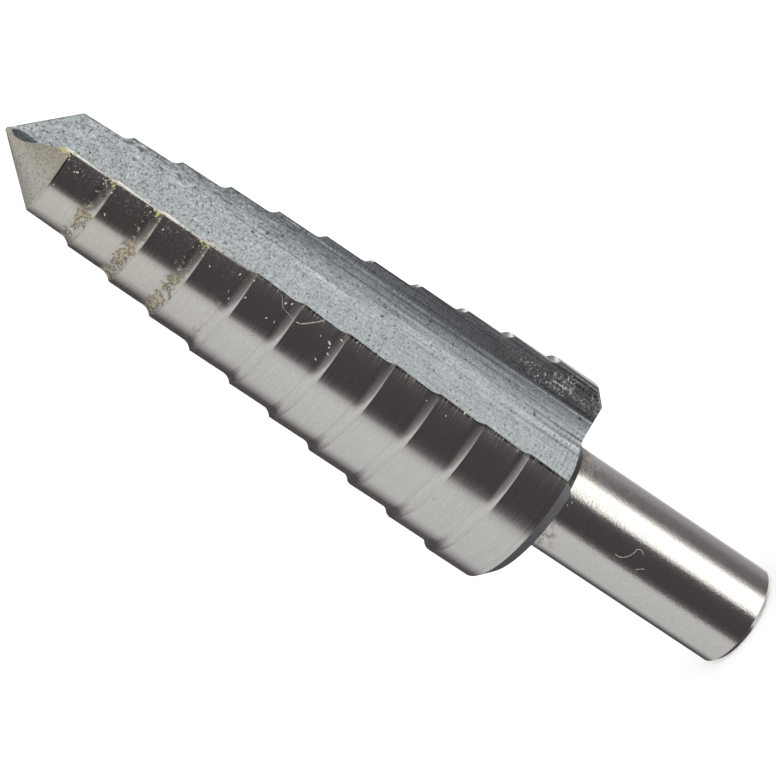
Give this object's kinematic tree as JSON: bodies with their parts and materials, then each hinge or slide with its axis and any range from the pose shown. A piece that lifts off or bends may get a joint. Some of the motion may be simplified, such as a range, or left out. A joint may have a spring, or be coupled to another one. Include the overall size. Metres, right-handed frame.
{
  "type": "step drill",
  "caption": "Step drill bit with ground lands rising from 10 to 20 mm, two straight hooked flutes and a plain round shank.",
  "frame": {"origin": "centre of the shank's flat end, which the drill stands on", "axes": "+Z along the drill's axis from the shank to the point, -Y towards the cutting lip that the picture shows, +X across the flute in front of that lip"},
  "size_m": [0.0198, 0.02, 0.0769],
  "materials": {
    "tool_steel": "ground bright on the lands and the shank, matte in the flutes"
  },
  "bodies": {
    "root": {"step_drill": "tool_steel"}
  },
  "joints": []
}
